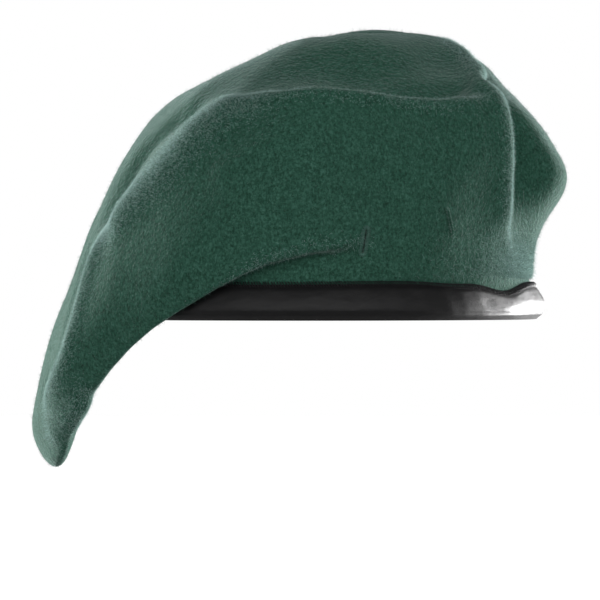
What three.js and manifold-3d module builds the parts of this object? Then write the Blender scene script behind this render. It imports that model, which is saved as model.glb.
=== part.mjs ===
// A military beret of felted wool with a leather binding, shaped as it is worn: the wall stands up
// over the brow, the crown slopes over the wearer's right ear, and the flap hangs down below it.
// Millimetres, +Z up, the wearer looks along -Y and the wearer's left is +X. The origin is the middle
// of the head opening, in the plane of the binding's bottom edge.
import * as THREE from 'three';
import { mergeVertices } from 'three/addons/utils/BufferGeometryUtils.js';
import Module from 'manifold-3d';

const wasm = await Module();
wasm.setup();

// Sheet thicknesses and the clearance between sewn layers.
const WOOL = 2.2;
const LEATHER = 1.0;
const LINING = 0.6;
const STIFFENER = 1.0;
const GAP = 0.35;

// The wool's outer face in the binding is an ellipse with these half axes, across and front to back.
// Inside the binding that leaves an opening of about 572 mm round, a head size of 57.
const HALF_WIDTH = 85.2;
const HALF_DEPTH = 105.2;

// Heights in the binding, from its bottom edge.
const WOOL_EDGE = 4.5;
const WOOL_LEAVES = 12.8;
const BINDING_OUTSIDE = 12.6;
const BINDING_INSIDE = 11.5;
const BINDING_ROUNDING = 0.8;
const LINING_TUCK_BOTTOM = 5;
const LINING_TUCK_TOP = 11.8;

// The drawcord lies in the channel under the wool's edge.
const CORD_RADIUS = 1.2;
const CORD_HEIGHT = 2.75;
const CORD_KNOT_LENGTH = 3;
const CORD_KNOT_RADIUS = 1.5;

// The lining is a half ellipsoid over the head, with a seam between its side and its tip.
const LINING_BASE = 15;
const LINING_RISE = 73;
const LINING_INSET = 4.6;
const LINING_SEAM_ANGLE = 35 * Math.PI / 180;

// Threads.
const STITCH_RADIUS = 0.35;
const STITCH_ROW_OUT = 1.1;
const SEAM_THREAD_RADIUS = 0.25;

// The badge goes over the wearer's left eye. Its seat is a flat patch between two buttonholes.
const SEAT_AZIMUTH = -70;
const SEAT_HEIGHT = 33;
const SEAT_HALF_WIDTH = 11;
const SEAT_HALF_HEIGHT = 13.5;
const BADGE_SLOTS = [
  { azimuth: -80, height: 27, lean: 5 },
  { azimuth: -62.5, height: 33.5, lean: -22 },
];
const SLIT_LENGTH = 8;
const SLIT_WIDTH = 0.9;
const SLOT_THREAD_WIDTH = 1.1;
const SLOT_THREAD_HEIGHT = 0.6;

// The stiffener behind the badge, as azimuths and heights. It stays below the wall's shoulder, which
// is the eighth point of each guide line.
const STIFFENER_FROM = -86;
const STIFFENER_TO = -53;
const STIFFENER_BOTTOM = 17;
const STIFFENER_TOP = 52;
const SHOULDER_POINT = 7;

// The blank label is sewn to the lining at the back.
const LABEL_WIDTH = 28;
const LABEL_BOTTOM = 24;
const LABEL_TOP = 37;
const LABEL = 0.4;

// How finely the rings, the crown's columns and its rows are divided.
const RING_STEPS = 60;
const AZIMUTH_STEP = 5.6;
const ROWS_BETWEEN_GUIDES = 2;

// The crown's outer face runs through these guide lines, one for each azimuth in degrees from the
// wearer's left towards the back. side gives [distance outside the opening's ellipse, height] for
// seven points: just over the binding, the turn outwards, the underside, the rim, the widest place,
// the shoulder and the edge of the top. top gives two [x, y, z] points on the way to the middle.
const MIDDLE_OF_TOP = [10, 4, 107.5];
const GUIDES = [
  { at: -90, side: [[0.1, 15], [0.2, 20.2], [1.4, 22.3], [4.2, 25], [3.4, 57], [-6, 77.5], [-16, 74.5]],
    top: [[0, -66, 83], [3, -42, 99]] },
  { at: -70, side: [[0.8, 15], [1.8, 20], [2.3, 26], [2.6, 35], [2, 56], [-4.5, 75.5], [-14, 73]],
    top: [[23, -62, 84], [17, -40, 101.5]] },
  { at: -54, side: [[0.3, 15], [0.8, 20], [1.5, 26], [3.5, 36], [6.2, 56], [0, 75], [-11, 77]],
    top: [[43, -52, 87.5], [31, -32, 103.5]] },
  { at: -47, side: [[0, 15], [0.5, 20], [1.3, 26], [4, 36], [5.6, 58], [2.5, 76.5], [-6, 84.5]],
    top: [[58.5, -38, 91], [50, -10, 103.5]] },
  { at: -38, side: [[-0.2, 15], [0, 20], [-0.4, 26], [-3.5, 36], [-12.5, 55], [-18, 72], [-20, 78]],
    top: [[54, -26, 83.5], [48, -1, 100.5]] },
  { at: -20, side: [[-1.6, 15], [-1.6, 20], [-0.6, 26], [2, 36], [8.5, 52], [2.4, 67], [-7, 78]],
    top: [[61, -13, 88], [46, 5, 104.3]] },
  { at: -2, side: [[-1.9, 15], [-2, 20], [-1.4, 27], [2.6, 36], [10, 51.5], [4, 67], [-8, 83]],
    top: [[64.5, 2, 95], [42, 10, 107.2]] },
  { at: 14, side: [[-1, 15], [0.2, 20], [1.8, 28], [5, 38], [13.5, 52.5], [6.5, 68], [-7.5, 84]],
    top: [[64.5, 15, 98.6], [39, 16, 108.8]] },
  { at: 40, side: [[0, 15], [1.5, 20], [3.5, 27], [8, 36], [18, 50], [10, 68], [-6, 84]],
    top: [[50, 40, 98], [30, 24, 109]] },
  { at: 65, side: [[0, 15], [2, 19], [5, 24], [10, 32], [19, 46], [12, 66], [-6, 82]],
    top: [[28, 62, 95], [18, 32, 107]] },
  { at: 90, side: [[0.5, 15], [2.5, 17.5], [6, 19], [11, 24], [17, 38], [9, 62], [-10, 80]],
    top: [[0, 70, 90], [6, 36, 105]] },
  { at: 115, side: [[1.3, 15.7], [3.2, 13], [6, 7], [11.5, 6], [16.5, 21], [6, 52], [-12, 74]],
    top: [[-26, 64, 85], [-6, 32, 102.5]] },
  { at: 138, side: [[1.5, 16.1], [3.8, 8], [5.5, -6], [10.5, -14], [16.5, -3], [4, 38], [-10, 62]],
    top: [[-44, 46, 80], [-16, 24, 99]] },
  { at: 158, side: [[1.6, 16.2], [4.2, 3], [4.6, -29], [10.5, -42], [18, -31], [2.2, 25], [-9.6, 52.5]],
    top: [[-55.5, 24, 76.5], [-22.5, 12, 96.5]] },
  { at: 172, side: [[1.6, 16.2], [4.2, 2], [4.8, -36], [12, -54.5], [18.7, -42], [2.4, 22], [-9.6, 50]],
    top: [[-59, 6, 75], [-24.5, 4, 95.5]] },
  { at: 188, side: [[1.6, 16.2], [4.2, 3], [4.8, -36], [11.5, -53.5], [18.3, -41], [3.8, 15], [-8.8, 45]],
    top: [[-59, -12, 74], [-24.5, -4, 95.5]] },
  { at: 205, side: [[1.6, 16.2], [4, 4], [4.6, -35], [11.4, -51.5], [17.8, -36], [4, 18], [-5.5, 42]],
    top: [[-55.5, -30, 73], [-22.5, -12, 96]] },
  { at: 222, side: [[1.5, 16.1], [3.6, 5.5], [5, -16], [12, -27.5], [19.5, -13], [4.5, 31], [-9, 52]],
    top: [[-46, -45, 77], [-22, -26, 95]] },
  { at: 237, side: [[1.5, 15.9], [3.2, 9.5], [4.6, -2.6], [9.2, -6.6], [12, 8], [-7, 60], [-16, 68]],
    top: [[-36, -54, 79], [-17, -33, 96.5]] },
  { at: 248, side: [[1.3, 15.7], [2.6, 12], [3.8, 7.8], [7, 5.8], [9.5, 22], [-11.5, 74], [-20, 74]],
    top: [[-26, -61, 81], [-12, -38, 97.5]] },
  { at: 260, side: [[0.2, 15.2], [0.6, 17], [2.6, 17], [6, 18.8], [7.2, 38], [-8.5, 77], [-18, 75]],
    top: [[-12, -66, 82.5], [-4, -42, 98.5]] },
];

const radians = (degrees) => degrees * Math.PI / 180;

function ellipseRadius(angle) {
  return 1 / Math.hypot(Math.cos(angle) / HALF_WIDTH, Math.sin(angle) / HALF_DEPTH);
}

function polar(angle, overhang, height) {
  const radius = ellipseRadius(angle) + overhang;
  return new THREE.Vector3(radius * Math.cos(angle), radius * Math.sin(angle), height);
}

function guidePoints(guide) {
  const angle = radians(guide.at);
  return [
    polar(angle, 0, WOOL_EDGE),
    polar(angle, 0, WOOL_LEAVES),
    ...guide.side.map(([overhang, height]) => polar(angle, overhang, height)),
    ...guide.top.map((point) => new THREE.Vector3(...point)),
    new THREE.Vector3(...MIDDLE_OF_TOP),
  ];
}

function smooth(points, closed) {
  return new THREE.CatmullRomCurve3(points, closed, 'centripetal');
}

// Places along the closed rings, as fractions, about one for each AZIMUTH_STEP degrees.
function azimuthFractions() {
  const fractions = [];
  GUIDES.forEach((guide, index) => {
    const next = GUIDES[(index + 1) % GUIDES.length].at;
    const span = (next - guide.at + 360) % 360;
    const steps = Math.max(2, Math.round(span / AZIMUTH_STEP));
    for (let step = 0; step < steps; step += 1) {
      fractions.push((index + step / steps) / GUIDES.length);
    }
  });
  return fractions;
}

// Columns of points, each from the wool's lower edge to the middle of the top.
function crownColumns() {
  const guides = GUIDES.map(guidePoints);
  const rings = guides[0].map((_, row) => smooth(guides.map((points) => points[row]), true));
  return azimuthFractions().map((fraction) => {
    const column = rings.map((ring) => ring.getPoint(fraction));
    for (const point of column.slice(0, 2)) {
      point.copy(polar(Math.atan2(point.y, point.x), 0, point.z));
    }
    const line = smooth(column, false);
    const segments = column.length - 1;
    const rows = segments * ROWS_BETWEEN_GUIDES;
    return Array.from({ length: rows + 1 }, (_, row) => {
      const point = line.getPoint(row / rows);
      const inBinding = row < ROWS_BETWEEN_GUIDES;
      return inBinding ? polar(Math.atan2(point.y, point.x), 0, point.z) : point;
    });
  });
}

// Where a level line towards the crown's axis meets the wool, and the way the wool faces there.
function spotOnCrown(columns, azimuth, height) {
  const outwards = new THREE.Vector3(Math.cos(radians(azimuth)), Math.sin(radians(azimuth)), 0);
  const start = outwards.clone().multiplyScalar(2 * HALF_DEPTH).setZ(height);
  const skin = new THREE.Mesh(shellGeometry(columns, columns));
  const [hit] = new THREE.Raycaster(start, outwards.clone().negate()).intersectObject(skin);
  const normal = hit.face.normal.clone();
  return { point: hit.point, normal: normal.multiplyScalar(Math.sign(normal.dot(outwards))) };
}

// The stiffener holds the wool flat where the badge sits.
function flattenSeat(columns) {
  const { point: centre, normal } = spotOnCrown(columns, SEAT_AZIMUTH, SEAT_HEIGHT);
  const across = new THREE.Vector3(-normal.y, normal.x, 0).normalize();
  for (const point of columns.flat()) {
    const offset = point.clone().sub(centre);
    const outwards = offset.dot(normal);
    const beside = Math.abs(offset.dot(across));
    if (beside < SEAT_HALF_WIDTH && Math.abs(offset.z) < SEAT_HALF_HEIGHT && outwards > -HALF_WIDTH) {
      point.addScaledVector(normal, -outwards);
    }
  }
}

// The same columns moved inwards, square to the surface.
function offsetColumns(columns, distance) {
  const last = columns[0].length - 1;
  const middle = new THREE.Vector3(...MIDDLE_OF_TOP).add(new THREE.Vector3(0, 0, -distance));
  return columns.map((column, index) => {
    const before = columns[(index + columns.length - 1) % columns.length];
    const after = columns[(index + 1) % columns.length];
    return column.map((point, row) => {
      if (row === last) {
        return middle.clone();
      }
      const around = after[row].clone().sub(before[row]);
      const up = column[row + 1].clone().sub(column[Math.max(row - 1, 0)]);
      const normal = around.cross(up).normalize();
      return point.clone().addScaledVector(normal, -distance);
    });
  });
}

function geometryFrom(positions, triangles) {
  const geometry = new THREE.BufferGeometry();
  geometry.setAttribute('position', new THREE.Float32BufferAttribute(positions, 3));
  geometry.setIndex(triangles);
  return geometry;
}

// A shell closed at its middle and open at its lower edge, between two sets of columns.
function shellGeometry(outer, inner) {
  const count = outer.length;
  const rows = outer[0].length - 1;
  const positions = [];
  const triangles = [];
  for (const columns of [outer, inner]) {
    for (const column of columns) {
      column.slice(0, rows).forEach((point) => positions.push(...point.toArray()));
    }
    positions.push(...columns[0][rows].toArray());
  }
  const perFace = count * rows + 1;
  const vertex = (face, column, row) => (
    face * perFace + (row === rows ? count * rows : (column % count) * rows + row)
  );
  for (let column = 0; column < count; column += 1) {
    for (let row = 0; row < rows; row += 1) {
      for (const face of [0, 1]) {
        const a = vertex(face, column, row);
        const b = vertex(face, column + 1, row);
        const c = vertex(face, column + 1, row + 1);
        const d = vertex(face, column, row + 1);
        const corners = row === rows - 1 ? [[a, b, c]] : [[a, b, c], [a, c, d]];
        for (const [p, q, r] of corners) {
          triangles.push(...(face === 0 ? [p, q, r] : [p, r, q]));
        }
      }
    }
    const [a, b] = [vertex(0, column, 0), vertex(0, column + 1, 0)];
    const [c, d] = [vertex(1, column + 1, 0), vertex(1, column, 0)];
    triangles.push(a, d, c, a, c, b);
  }
  return geometryFrom(positions, triangles);
}

// A closed outline carried through a list of places, either round and back or, for a convex outline,
// with two flat ends. place(index, corner) gives the point of one corner of the outline.
function sweepGeometry(outline, stepCount, closed, place) {
  const corners = outline.length;
  const sections = closed ? stepCount : stepCount + 1;
  const positions = [];
  const triangles = [];
  for (let index = 0; index < sections; index += 1) {
    outline.forEach((corner) => positions.push(...place(index, corner).toArray()));
  }
  for (let index = 0; index < stepCount; index += 1) {
    for (let corner = 0; corner < corners; corner += 1) {
      const next = (corner + 1) % corners;
      const a = index * corners + corner;
      const b = index * corners + next;
      const c = ((index + 1) % sections) * corners + next;
      const d = ((index + 1) % sections) * corners + corner;
      triangles.push(a, c, b, a, d, c);
    }
  }
  if (!closed) {
    const end = stepCount * corners;
    for (let corner = 1; corner + 1 < corners; corner += 1) {
      triangles.push(0, corner, corner + 1, end, end + corner + 1, end + corner);
    }
  }
  return geometryFrom(positions, triangles);
}

// A point of the family of ellipses round the opening.
function ringPoint(angle, out, up) {
  const x = (HALF_WIDTH + out) * Math.cos(angle);
  const y = (HALF_DEPTH + out) * Math.sin(angle);
  return new THREE.Vector3(x, y, up);
}

function ringGeometry(outline) {
  const place = (index, [out, up]) => ringPoint(index * 2 * Math.PI / RING_STEPS, out, up);
  return sweepGeometry(outline, RING_STEPS, true, place);
}

function roundOutline(out, up, radius, sides) {
  return Array.from({ length: sides }, (_, side) => {
    const turn = (side + 0.5) * 2 * Math.PI / sides;
    return [out + radius * Math.cos(turn), up + radius * Math.sin(turn)];
  });
}

// The leather is folded round the wool's edge: a long leg outside, a short one inside, both open
// at the top, and a channel underneath.
function bindingGeometry() {
  const outside = GAP + LEATHER;
  const inside = -(WOOL + GAP + LINING + GAP + LEATHER);
  return ringGeometry([
    [outside - BINDING_ROUNDING, 0],
    [outside, BINDING_ROUNDING],
    [outside, BINDING_OUTSIDE],
    [GAP, BINDING_OUTSIDE],
    [GAP, LEATHER],
    [inside + LEATHER, LEATHER],
    [inside + LEATHER, BINDING_INSIDE],
    [inside, BINDING_INSIDE],
    [inside, BINDING_ROUNDING],
    [inside + BINDING_ROUNDING, 0],
  ]);
}

function toSolid(geometry) {
  const merged = geometry.clone();
  merged.deleteAttribute('normal');
  merged.deleteAttribute('uv');
  const welded = mergeVertices(merged, 1e-4);
  const vertProperties = new Float32Array(welded.attributes.position.array);
  const triVerts = new Uint32Array(welded.index.array);
  return new wasm.Manifold(new wasm.Mesh({ numProp: 3, vertProperties, triVerts }));
}

function fromSolid(solid) {
  const { vertProperties, triVerts } = solid.getMesh();
  return geometryFrom(Array.from(vertProperties), Array.from(triVerts));
}

// The cord runs once round in the channel and is knotted at the back.
function cordGeometry() {
  const middle = (GAP - (WOOL + GAP + LINING + GAP)) / 2;
  const loop = ringGeometry(roundOutline(middle, CORD_HEIGHT, CORD_RADIUS, 8));
  const knot = new THREE.SphereGeometry(CORD_KNOT_RADIUS, 10, 6);
  knot.scale(CORD_KNOT_LENGTH / CORD_KNOT_RADIUS, 1, 1);
  knot.translate(0, HALF_DEPTH + middle, CORD_HEIGHT);
  return fromSolid(toSolid(loop).add(toSolid(knot)));
}

// One face of the lining: a tuck inside the binding, then the half ellipsoid.
function liningFace(depth, fromAngle, toAngle, rows) {
  const inset = LINING_INSET + depth;
  return Array.from({ length: rows + 1 }, (_, row) => {
    const rise = fromAngle + (toAngle - fromAngle) * row / rows;
    return { inset, rise, depth };
  });
}

function liningPoint(angle, { inset, rise, depth }) {
  const x = (HALF_WIDTH - inset) * Math.cos(rise) * Math.cos(angle);
  const y = (HALF_DEPTH - inset) * Math.cos(rise) * Math.sin(angle);
  return new THREE.Vector3(x, y, LINING_BASE + (LINING_RISE - depth) * Math.sin(rise));
}

function liningSideGeometry() {
  const tuck = WOOL + GAP;
  const outer = liningFace(0, 0, LINING_SEAM_ANGLE, 5);
  const inner = liningFace(LINING, 0, LINING_SEAM_ANGLE, 5);
  const tuckOuter = [LINING_TUCK_BOTTOM, LINING_TUCK_TOP].map((up) => [-tuck, up]);
  const tuckInner = [LINING_TUCK_BOTTOM, LINING_TUCK_TOP].map((up) => [-tuck - LINING, up]);
  const outline = [...tuckOuter, ...outer, ...inner.reverse(), ...tuckInner.reverse()];
  const place = (index, corner) => {
    const angle = index * 2 * Math.PI / RING_STEPS;
    return Array.isArray(corner) ? ringPoint(angle, ...corner) : liningPoint(angle, corner);
  };
  return sweepGeometry(outline, RING_STEPS, true, place);
}

function liningTipGeometry() {
  const start = LINING_SEAM_ANGLE + 1.5 * GAP / HALF_DEPTH;
  const columnsAt = (depth) => Array.from({ length: RING_STEPS }, (_, index) => {
    const angle = index * 2 * Math.PI / RING_STEPS;
    return liningFace(depth, start, Math.PI / 2, 5).map((corner) => liningPoint(angle, corner));
  });
  return shellGeometry(columnsAt(0), columnsAt(LINING));
}

// A thread laid along the lining's seam, on the side that faces the head.
function liningSeamThreadGeometry() {
  const depth = LINING + GAP + SEAM_THREAD_RADIUS;
  const outline = roundOutline(0, 0, SEAM_THREAD_RADIUS, 4);
  const place = (index, [out, up]) => {
    const angle = index * 2 * Math.PI / RING_STEPS;
    const rise = LINING_SEAM_ANGLE;
    const centre = liningPoint(angle, { inset: LINING_INSET + depth, rise, depth });
    return centre.add(new THREE.Vector3(out * Math.cos(angle), out * Math.sin(angle), up));
  };
  return sweepGeometry(outline, RING_STEPS, true, place);
}

// Overcast stitches along the top edge of the leather, in the notch under the wool.
function bindingEdgeThreadGeometry() {
  const height = BINDING_OUTSIDE + GAP + STITCH_RADIUS;
  return ringGeometry(roundOutline(STITCH_ROW_OUT, height, STITCH_RADIUS, 4));
}

function bindingInnerThreadGeometry() {
  const face = -(WOOL + GAP + LINING + GAP + LEATHER);
  const height = BINDING_INSIDE - 2;
  return ringGeometry(roundOutline(face - GAP - SEAM_THREAD_RADIUS, height, SEAM_THREAD_RADIUS, 4));
}

// A plate between two parallel sets of columns, with a rectangular outline.
function plateGeometry(front, back) {
  const [columns, rows] = [front.length, front[0].length];
  const positions = [...front.flat(), ...back.flat()].flatMap((point) => point.toArray());
  const vertex = (face, column, row) => face * columns * rows + column * rows + row;
  const triangles = [];
  const quad = (a, b, c, d) => triangles.push(a, b, c, a, c, d);
  for (let column = 0; column + 1 < columns; column += 1) {
    for (let row = 0; row + 1 < rows; row += 1) {
      const corners = [[column, row], [column + 1, row], [column + 1, row + 1], [column, row + 1]];
      quad(...corners.map(([i, j]) => vertex(0, i, j)));
      quad(...corners.reverse().map(([i, j]) => vertex(1, i, j)));
    }
    for (const [row, flip] of [[0, true], [rows - 1, false]]) {
      const edge = [vertex(0, column, row), vertex(0, column + 1, row)];
      edge.push(vertex(1, column + 1, row), vertex(1, column, row));
      quad(...(flip ? edge.reverse() : edge));
    }
  }
  for (let row = 0; row + 1 < rows; row += 1) {
    for (const [column, flip] of [[0, false], [columns - 1, true]]) {
      const edge = [vertex(0, column, row), vertex(0, column, row + 1)];
      edge.push(vertex(1, column, row + 1), vertex(1, column, row));
      quad(...(flip ? edge.reverse() : edge));
    }
  }
  return geometryFrom(positions, triangles);
}

function stiffenerGeometry(columns) {
  const faces = [WOOL + GAP, WOOL + GAP + STIFFENER].map((depth) => offsetColumns(columns, depth));
  const chosen = columns.map((column, index) => {
    const azimuth = Math.atan2(column[0].y, column[0].x) * 180 / Math.PI;
    return azimuth > STIFFENER_FROM && azimuth < STIFFENER_TO ? index : -1;
  }).filter((index) => index >= 0);
  const shoulderRow = SHOULDER_POINT * ROWS_BETWEEN_GUIDES;
  const rows = columns[chosen[1]].map((point, row) => {
    const behindBadge = point.z > STIFFENER_BOTTOM && point.z < STIFFENER_TOP;
    return behindBadge && row < shoulderRow ? row : -1;
  }).filter((row) => row >= 0);
  const patch = (face) => chosen.map((index) => rows.map((row) => face[index][row]));
  return plateGeometry(patch(faces[0]), patch(faces[1]));
}

// A frame on the wool at a badge slot: Z outwards, Y along the slot.
function slotMatrix(columns, slot, lift) {
  const { point: centre, normal } = spotOnCrown(columns, slot.azimuth, slot.height);
  const across = new THREE.Vector3(0, 0, 1).cross(normal).normalize();
  const up = normal.clone().cross(across);
  const matrix = new THREE.Matrix4().makeBasis(across, up, normal);
  matrix.multiply(new THREE.Matrix4().makeRotationZ(-radians(slot.lean)));
  return matrix.setPosition(centre.addScaledVector(normal, lift));
}

function slitGeometry(columns, slot) {
  const slit = new THREE.BoxGeometry(SLIT_WIDTH, SLIT_LENGTH, 16);
  return slit.applyMatrix4(slotMatrix(columns, slot, 0));
}

function longHole(target, length, width) {
  const radius = width / 2;
  const reach = length / 2 - radius;
  target.absarc(0, reach, radius, 0, Math.PI, false);
  target.absarc(0, -reach, radius, Math.PI, 2 * Math.PI, false);
  target.closePath();
  return target;
}

function slotThreadGeometry(columns, slot) {
  const length = SLIT_LENGTH + 2 * SLOT_THREAD_WIDTH;
  const width = SLIT_WIDTH + 2 * SLOT_THREAD_WIDTH;
  const outline = longHole(new THREE.Shape(), length, width);
  outline.holes.push(longHole(new THREE.Path(), SLIT_LENGTH, SLIT_WIDTH));
  const settings = { depth: SLOT_THREAD_HEIGHT, bevelEnabled: false, curveSegments: 5 };
  const ring = new THREE.ExtrudeGeometry(outline, settings);
  return ring.applyMatrix4(slotMatrix(columns, slot, GAP));
}

function labelGeometry() {
  const face = LINING_INSET + LINING + 2 * GAP;
  const outline = [[face + LABEL, LABEL_BOTTOM], [face, LABEL_BOTTOM], [face, LABEL_TOP],
    [face + LABEL, LABEL_TOP]];
  const steps = 8;
  const halfAngle = LABEL_WIDTH / 2 / HALF_WIDTH;
  const place = (index, [inset, up]) => {
    const angle = Math.PI / 2 - halfAngle + 2 * halfAngle * index / steps;
    const rise = Math.asin((up - LINING_BASE) / LINING_RISE);
    return liningPoint(angle, { inset, rise, depth: 0 }).setZ(up);
  };
  return sweepGeometry(outline, steps, false, place);
}

const cut = (geometry, tools) => fromSolid(
  tools.reduce((solid, tool) => solid.subtract(toSolid(tool)), toSolid(geometry)),
);

const felt = () => new THREE.MeshStandardMaterial({ color: 0x2c5a50, roughness: 0.95, metalness: 0 });
const leather = () => new THREE.MeshStandardMaterial({ color: 0x17171a, roughness: 0.4, metalness: 0 });
const satin = () => new THREE.MeshStandardMaterial({ color: 0x1b1b1d, roughness: 0.6, metalness: 0 });
const board = () => new THREE.MeshStandardMaterial({ color: 0x5a4a38, roughness: 0.9, metalness: 0 });
const darkThread = () => new THREE.MeshStandardMaterial({ color: 0x121214, roughness: 0.8, metalness: 0 });
const greenThread = () => new THREE.MeshStandardMaterial({ color: 0x38685c, roughness: 0.8, metalness: 0 });
const ribbon = () => new THREE.MeshStandardMaterial({ color: 0xd8d4c8, roughness: 0.8, metalness: 0 });

const group = new THREE.Group();

function addPiece(name, geometry, material) {
  geometry.computeVertexNormals();
  const mesh = new THREE.Mesh(geometry, material);
  mesh.name = name;
  group.add(mesh);
}

const crown = crownColumns();
flattenSeat(crown);
const slits = BADGE_SLOTS.map((slot) => slitGeometry(crown, slot));

addPiece('wool_crown', cut(shellGeometry(crown, offsetColumns(crown, WOOL)), slits), felt());
addPiece('leather_binding', bindingGeometry(), leather());
addPiece('drawcord', cordGeometry(), darkThread());
addPiece('lining_side', liningSideGeometry(), satin());
addPiece('lining_tip', liningTipGeometry(), satin());
addPiece('lining_seam_thread', liningSeamThreadGeometry(), darkThread());
addPiece('badge_stiffener', cut(stiffenerGeometry(crown), slits), board());
BADGE_SLOTS.forEach((slot, index) => {
  addPiece(`badge_slot_thread_${index + 1}`, slotThreadGeometry(crown, slot), greenThread());
});
addPiece('binding_edge_thread', bindingEdgeThreadGeometry(), darkThread());
addPiece('binding_inner_thread', bindingInnerThreadGeometry(), darkThread());
addPiece('size_label', labelGeometry(), ribbon());

export default group;
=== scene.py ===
"""A felted wool beret as worn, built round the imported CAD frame.

Lengths are millimetres until a mesh is made, and metres in Blender. +Z is up, the wearer looks
along -Y and the wearer's left is +X. The origin is the middle of the head opening, in the plane of
the leather binding's bottom edge.
"""

import math

import bpy
import numpy as np
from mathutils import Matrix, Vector


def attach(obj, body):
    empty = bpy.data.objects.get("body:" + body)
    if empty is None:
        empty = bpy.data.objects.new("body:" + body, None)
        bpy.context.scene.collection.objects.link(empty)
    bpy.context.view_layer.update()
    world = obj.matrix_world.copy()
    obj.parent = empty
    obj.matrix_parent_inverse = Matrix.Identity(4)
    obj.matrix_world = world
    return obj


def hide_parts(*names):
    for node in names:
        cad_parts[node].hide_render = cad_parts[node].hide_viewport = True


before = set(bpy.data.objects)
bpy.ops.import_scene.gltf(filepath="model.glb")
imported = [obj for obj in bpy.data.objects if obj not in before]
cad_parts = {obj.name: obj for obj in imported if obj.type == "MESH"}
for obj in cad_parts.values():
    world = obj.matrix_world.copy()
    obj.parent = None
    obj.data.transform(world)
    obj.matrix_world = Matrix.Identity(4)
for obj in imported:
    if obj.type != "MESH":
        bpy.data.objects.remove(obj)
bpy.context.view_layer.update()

MM = 0.001
SEED = 11

# The wool's outer face in the binding is an ellipse with these half axes.
HALF_WIDTH = 85.2
HALF_DEPTH = 105.2
WOOL = 2.2
WOOL_EDGE = 4.5
BAND_TOP = 12.8

# The crown's outer face runs through these guide lines, as in the CAD model: an azimuth in degrees
# from the wearer's left towards the back, seven points [distance outside the opening's ellipse,
# height] from the binding to the edge of the top, and two points [x, y, z] towards its middle.
MIDDLE_OF_TOP = (10, 4, 107.5)
GUIDES = [
    (-90, [[0.1, 15], [0.2, 20.2], [1.4, 22.3], [4.2, 25], [3.4, 57], [-6, 77.5], [-16, 74.5]],
     [[0, -66, 83], [3, -42, 99]]),
    (-70, [[0.8, 15], [1.8, 20], [2.3, 26], [2.6, 35], [2, 56], [-4.5, 75.5], [-14, 73]],
     [[23, -62, 84], [17, -40, 101.5]]),
    (-54, [[0.3, 15], [0.8, 20], [1.5, 26], [3.5, 36], [6.2, 56], [0, 75], [-11, 77]],
     [[43, -52, 87.5], [31, -32, 103.5]]),
    (-47, [[0, 15], [0.5, 20], [1.3, 26], [4, 36], [5.6, 58], [2.5, 76.5], [-6, 84.5]],
     [[58.5, -38, 91], [50, -10, 103.5]]),
    (-38, [[-0.2, 15], [0, 20], [-0.4, 26], [-3.5, 36], [-12.5, 55], [-18, 72], [-20, 78]],
     [[54, -26, 83.5], [48, -1, 100.5]]),
    (-20, [[-1.6, 15], [-1.6, 20], [-0.6, 26], [2, 36], [8.5, 52], [2.4, 67], [-7, 78]],
     [[61, -13, 88], [46, 5, 104.3]]),
    (-2, [[-1.9, 15], [-2, 20], [-1.4, 27], [2.6, 36], [10, 51.5], [4, 67], [-8, 83]],
     [[64.5, 2, 95], [42, 10, 107.2]]),
    (14, [[-1, 15], [0.2, 20], [1.8, 28], [5, 38], [13.5, 52.5], [6.5, 68], [-7.5, 84]],
     [[64.5, 15, 98.6], [39, 16, 108.8]]),
    (40, [[0, 15], [1.5, 20], [3.5, 27], [8, 36], [18, 50], [10, 68], [-6, 84]],
     [[50, 40, 98], [30, 24, 109]]),
    (65, [[0, 15], [2, 19], [5, 24], [10, 32], [19, 46], [12, 66], [-6, 82]],
     [[28, 62, 95], [18, 32, 107]]),
    (90, [[0.5, 15], [2.5, 17.5], [6, 19], [11, 24], [17, 38], [9, 62], [-10, 80]],
     [[0, 70, 90], [6, 36, 105]]),
    (115, [[1.3, 15.7], [3.2, 13], [6, 7], [11.5, 6], [16.5, 21], [6, 52], [-12, 74]],
     [[-26, 64, 85], [-6, 32, 102.5]]),
    (138, [[1.5, 16.1], [3.8, 8], [5.5, -6], [10.5, -14], [16.5, -3], [4, 38], [-10, 62]],
     [[-44, 46, 80], [-16, 24, 99]]),
    (158, [[1.6, 16.2], [4.2, 3], [4.6, -29], [10.5, -42], [18, -31], [2.2, 25], [-9.6, 52.5]],
     [[-55.5, 24, 76.5], [-22.5, 12, 96.5]]),
    (172, [[1.6, 16.2], [4.2, 2], [4.8, -36], [12, -54.5], [18.7, -42], [2.4, 22], [-9.6, 50]],
     [[-59, 6, 75], [-24.5, 4, 95.5]]),
    (188, [[1.6, 16.2], [4.2, 3], [4.8, -36], [11.5, -53.5], [18.3, -41], [3.8, 15], [-8.8, 45]],
     [[-59, -12, 74], [-24.5, -4, 95.5]]),
    (205, [[1.6, 16.2], [4, 4], [4.6, -35], [11.4, -51.5], [17.8, -36], [4, 18], [-5.5, 42]],
     [[-55.5, -30, 73], [-22.5, -12, 96]]),
    (222, [[1.5, 16.1], [3.6, 5.5], [5, -16], [12, -27.5], [19.5, -13], [4.5, 31], [-9, 52]],
     [[-46, -45, 77], [-22, -26, 95]]),
    (237, [[1.5, 15.9], [3.2, 9.5], [4.6, -2.6], [9.2, -6.6], [12, 8], [-7, 60], [-16, 68]],
     [[-36, -54, 79], [-17, -33, 96.5]]),
    (248, [[1.3, 15.7], [2.6, 12], [3.8, 7.8], [7, 5.8], [9.5, 22], [-11.5, 74], [-20, 74]],
     [[-26, -61, 81], [-12, -38, 97.5]]),
    (260, [[0.2, 15.2], [0.6, 17], [2.6, 17], [6, 18.8], [7.2, 38], [-8.5, 77], [-18, 75]],
     [[-12, -66, 82.5], [-4, -42, 98.5]]),
]

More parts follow.
